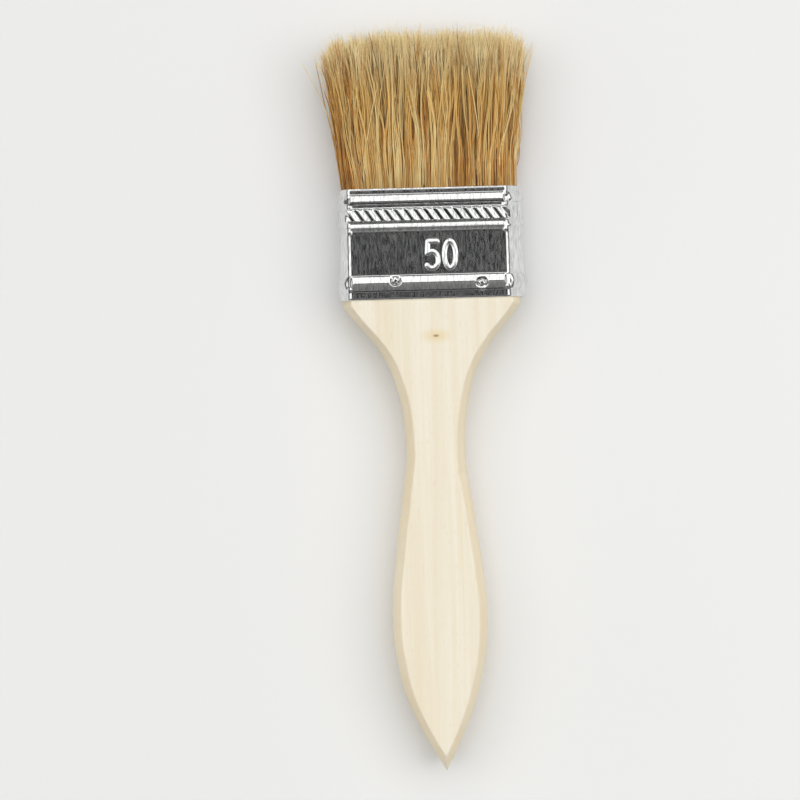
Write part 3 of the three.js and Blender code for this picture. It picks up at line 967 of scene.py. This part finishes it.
def make_flags(rng, paths, shades, name, material):
    """The fine hairs that a boar bristle splits into near its end."""
    chosen = np.repeat(np.arange(len(paths)), rng.integers(0, 3, len(paths)))
    count = len(chosen)
    start, end = paths[chosen, -3], paths[chosen, -1]
    reach = (end - start) * rng.uniform(0.85, 1.3, (count, 1))
    steps = np.array([0.0, 0.4, 0.75, 1.0])
    spread = rng.normal(0.0, 0.7, (count, 3)) * (1.0, 0.0, 0.7)
    flag = start[:, None] + reach[:, None] * steps[None, :, None]
    flag += spread[:, None] * (steps**1.5)[None, :, None]
    keep_off_floor(flag)
    radii = np.tile(np.array([0.07, 0.06, 0.045, 0.014]), (count, 1))
    pale = np.clip(shades[chosen] + (0.12, 0.1), 0.0, 1.0)
    return build_strands(name, flag, radii, pale, material)


def make_strays(rng, material):
    """Single hairs that have sprung out of the bundle: (x, z, sideways, upwards, length, tone)."""
    hairs = (
        (-20.4, 1.0, -9.6, 1.5, 31.5, 0.99), (-20.2, 3.2, -3.6, 2.2, 29.0, 0.92),
        (-20.0, -1.5, -2.6, -1.0, 30.5, 0.97), (-17.6, 6.6, -3.2, 2.4, 33.5, 0.6),
        (-9.4, 6.7, -3.4, 2.6, 36.2, 0.1), (-6.0, 6.7, -2.2, 2.4, 35.0, 0.14),
        (-1.2, 6.7, -1.4, 2.2, 34.6, 0.05), (8.4, 6.7, -1.2, 2.6, 36.0, 0.1),
        (17.2, 6.6, -3.6, 2.6, 36.8, 0.3), (-15.0, 6.6, 4.2, 2.6, 24.0, 0.9),
        (20.2, 2.5, 2.4, 1.6, 30.5, 0.96), (20.4, 0.5, 2.6, -1.0, 28.0, 0.99),
        (20.0, -3.0, 2.0, -1.4, 31.5, 0.95), (-12.0, 6.7, 3.2, 2.6, 32.0, 0.84),
        (12.0, 6.7, -3.4, 2.8, 33.5, 0.88), (17.0, 6.4, 2.6, 2.0, 34.6, 0.9),
    )
    u = np.linspace(0.0, 1.0, 14)
    paths, tones = [], []
    for x, z, sideways, upwards, length, tone in hairs:
        x = float(np.clip(x, side_edge(z, False) + 0.15, side_edge(z, True) - 0.15))
        sway = 0.25 * np.sin(2 * math.pi * u * 1.2 + x)
        line_x = x + sideways * u**2.1 + sway * u
        line = np.stack([line_x, MOUTH_Y + length * u, z + upwards * u**1.6], -1)
        root = np.array([[x * 0.96, ROOT_Y, z * 0.9]])
        paths.append(np.concatenate([root, line]))
        tones.append((tone, 0.0))
    paths = np.array(paths)
    keep_off_floor(paths)
    radii = 1.35 * strand_radii(rng, paths)
    return build_strands("bristle_strays", paths, radii, np.array(tones), material)


# ---------------------------------------------------------------- the brush

def dress_cad_node(name, material):
    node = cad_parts[name]
    node.data.materials.clear()
    node.data.materials.append(material)


handle_wood = make_handle_wood()
tinplate = make_tinplate()
nail_steel = make_nail_steel()
bristle = make_bristle()

handle = make_handle(handle_wood)
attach(handle, "brush")
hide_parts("handle")

ferrule = make_ferrule(tinplate)
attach(ferrule, "brush")
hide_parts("ferrule")

NAIL_NODES = ("nail_front_left", "nail_front_right", "nail_back_left", "nail_back_right")
for node_name, place in zip(NAIL_NODES, nail_places()):
    nail = make_nail(node_name + "_domed", *place, nail_steel)
    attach(nail, "brush")
    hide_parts(node_name)

dress_cad_node("resin_plug", make_resin())
dress_cad_node("filler_strip", make_filler_wood())

SEED = 50
hair_rng = np.random.default_rng(SEED)
front_bank = make_bank(hair_rng, 1, bristle)
back_bank = make_bank(hair_rng, -1, bristle)
strays = make_strays(hair_rng, bristle)
for piece in (*front_bank, *back_bank, strays):
    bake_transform(piece)
for piece in front_bank:
    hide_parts("bristle_bank_front")
for piece in back_bank:
    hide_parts("bristle_bank_back")


# ---------------------------------------------------------------- floor, light and camera

TENT = 1.5  # brightness of the tent
OPENING = 0.02
HORIZON = 0.78
FILL = 0.63
LOW_FILL_LEFT = 0.4
LOW_FILL_RIGHT = 0.27
LOW_FILL_END = 0.3  # beyond the bristle
SIDE_POWER = 0.45
OPENING_EDGE = (16, 11)  # degrees from straight up, where the tent ends and the opening starts
LOW_EDGE = (57, 48)  # where the dark starts low down, and where the tent is fully bright
SIDE_PLACE = (0.42, -0.06, 0.5)
FLOOR_HALF = 3.0  # metres


def cos_degrees(angle):
    return math.cos(math.radians(angle))


def make_floor():
    half = FLOOR_HALF
    mesh = bpy.data.meshes.new("floor")
    corners = [(-half, -half, 0.0), (half, -half, 0.0), (half, half, 0.0), (-half, half, 0.0)]
    mesh.from_pydata(corners, [], [(0, 1, 2, 3)])
    paper = Shader("floor_paper", Roughness=0.7, Specular_IOR_Level=0.2)
    tooth = paper.noise((900.0, 900.0, 900.0), detail=3.0)
    cloud = paper.noise((3.0, 3.0, 3.0), detail=2.0)
    shade = paper.mix(paper.stretch(cloud, 0.3, 0.7), colour(234, 234, 234), colour(232, 232, 231))
    paper.drive(Base_Color=shade, Normal=paper.bump(tooth, 0.00003, strength=0.3))
    mesh.materials.append(paper.material)
    floor = bpy.data.objects.new("floor", mesh)
    bpy.context.scene.collection.objects.link(floor)


def make_light_tent():
    """A white tent around a dark camera opening, dimmer beyond the handle, dark low down.

    Close to the horizon it is as bright as the floor, so the floor has no visible end.
    """
    world = bpy.data.worlds.new("light_tent")
    bpy.context.scene.world = world
    world.use_nodes = True
    tent = Nodes(world.node_tree)
    background = tent.tree.nodes["Background"]
    direction = tent.add("TexCoord", output="Generated")
    split = tent.tree.nodes.new("ShaderNodeSeparateXYZ")
    tent.feed(split.inputs[0], direction)
    along, up = split.outputs[1], split.outputs[2]
    opening = tent.stretch(up, *map(cos_degrees, OPENING_EDGE), TENT, OPENING)
    beyond_handle = tent.stretch(along, -0.36, -0.02, 0.13, 1.0)
    low_down = tent.stretch(up, *map(cos_degrees, LOW_EDGE), 0.05, 1.0)
    above = tent.math("MULTIPLY", tent.math("MULTIPLY", opening, beyond_handle), low_down)
    over_horizon = tent.stretch(up, 0.2, 0.26)
    near_horizon = tent.math("SUBTRACT", 1.0, over_horizon)
    strength = tent.math(
        "ADD",
        tent.math("MULTIPLY", above, over_horizon),
        tent.math("MULTIPLY", near_horizon, HORIZON),
    )
    tent.feed(background.inputs[0], (1.0, 1.0, 0.99, 1.0))
    tent.feed(background.inputs[1], strength)


def make_fill_light(name, strength, spread, tilt_x, tilt_y):
    """Very soft light that leaves no reflection in the tin. Angles are in degrees."""
    light = bpy.data.lights.new(name, "SUN")
    light.energy = strength
    light.angle = math.radians(spread)
    lamp = bpy.data.objects.new(name, light)
    lamp.rotation_euler = (math.radians(tilt_x), math.radians(tilt_y), 0.0)
    lamp.visible_glossy = False
    bpy.context.scene.collection.objects.link(lamp)


def make_side_light():
    """A weak softbox that makes the floor a little brighter on the right."""
    light = bpy.data.lights.new("side", "AREA")
    light.shape = "SQUARE"
    light.size = 0.4
    light.energy = SIDE_POWER
    lamp = bpy.data.objects.new("side", light)
    lamp.location = SIDE_PLACE
    lamp.rotation_euler = (0.0, math.atan2(SIDE_PLACE[0], SIDE_PLACE[2]), 0.0)
    lamp.visible_glossy = False
    lamp.visible_camera = False
    bpy.context.scene.collection.objects.link(lamp)


def make_camera():
    """Straight above, far enough back for a long lens, with the brush right of the middle."""
    frame_width = 185.6  # millimetres across the picture, at the brush's middle plane
    lens, sensor = 200.0, 36.0
    middle = (-8.0, 1.2)
    turn = -1.5  # degrees
    camera = bpy.data.cameras.new("camera")
    camera.lens = lens
    camera.sensor_width = sensor
    camera.clip_end = 20.0
    stand = bpy.data.objects.new("camera", camera)
    height = MIDDLE_Z + frame_width * lens / sensor
    stand.location = (middle[0] * MM, middle[1] * MM, height * MM)
    stand.rotation_euler = (0.0, 0.0, math.radians(turn))
    bpy.context.scene.collection.objects.link(stand)
    bpy.context.scene.camera = stand


make_floor()
make_light_tent()
make_fill_light("fill_overhead", FILL, 50, -2, 3)
make_fill_light("fill_left", LOW_FILL_LEFT, 60, 0, -64)
make_fill_light("fill_right", LOW_FILL_RIGHT, 60, 0, 62)
make_fill_light("fill_end", LOW_FILL_END, 60, -62, 0)
make_side_light()
make_camera()
bpy.context.scene.view_settings.view_transform = "Standard"
